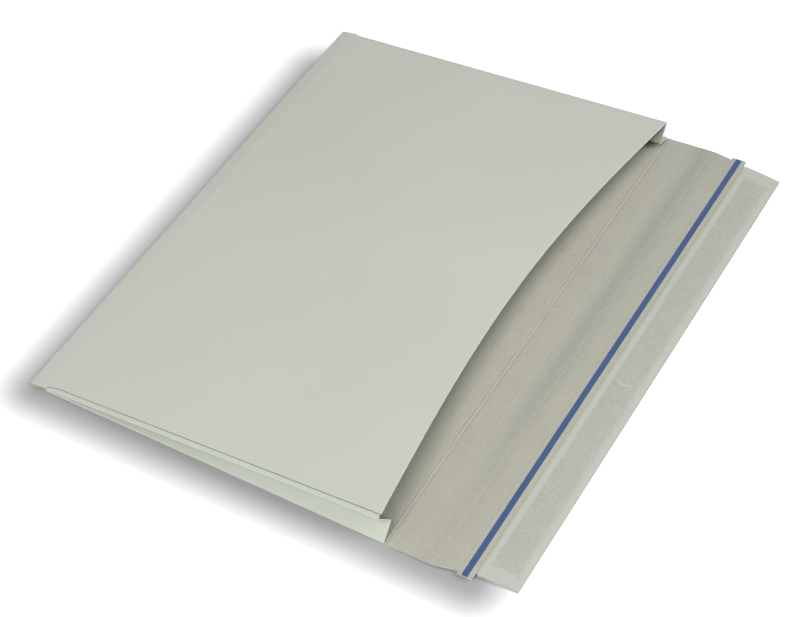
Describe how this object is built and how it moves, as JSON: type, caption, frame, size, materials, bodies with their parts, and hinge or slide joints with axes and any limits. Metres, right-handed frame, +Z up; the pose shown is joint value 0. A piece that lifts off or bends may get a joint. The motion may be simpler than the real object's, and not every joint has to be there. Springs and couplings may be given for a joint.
{
  "type": "cardboard mailer envelope",
  "caption": "Flat solid-board mailer with folding side gussets, a curved mouth, and a creased closing flap with a tear strip and a self-seal band.",
  "frame": {"origin": "centre of the footprint, on the surface that the mailer lies on", "axes": "+X from the closed edge towards the open flap, +Y across the width towards the flatter side, +Z up out of the back panel"},
  "size_m": [0.3298, 0.353, 0.024],
  "materials": {
    "white_board": "smooth pale coated solid board, matt",
    "kraft_board": "uncoated grey-brown board with fine fibres",
    "tear_tape": "thin blue plastic tape",
    "adhesive": "mottled self-seal adhesive",
    "liner": "translucent silicone paper, slight sheen"
  },
  "bodies": {
    "pocket": {"pocket_board": "white_board"},
    "wall": {"depth_wall": "kraft_board"},
    "flap": {"closure_flap": "kraft_board", "tear_tape": "tear_tape", "adhesive_band": "adhesive", "release_liner": "liner"}
  },
  "joints": [
    {"name": "mouth_crease", "type": "hinge", "parent": "pocket", "child": "wall", "pos_m": [0.08605, 0, 0.0006], "axis": [0, -1, 0], "range_deg": [0, 87]},
    {"name": "flap_crease", "type": "hinge", "parent": "wall", "child": "flap", "pos_m": [0.11655, 0, 0.0017], "axis": [0, -1, 0], "range_deg": [0, 90]}
  ]
}
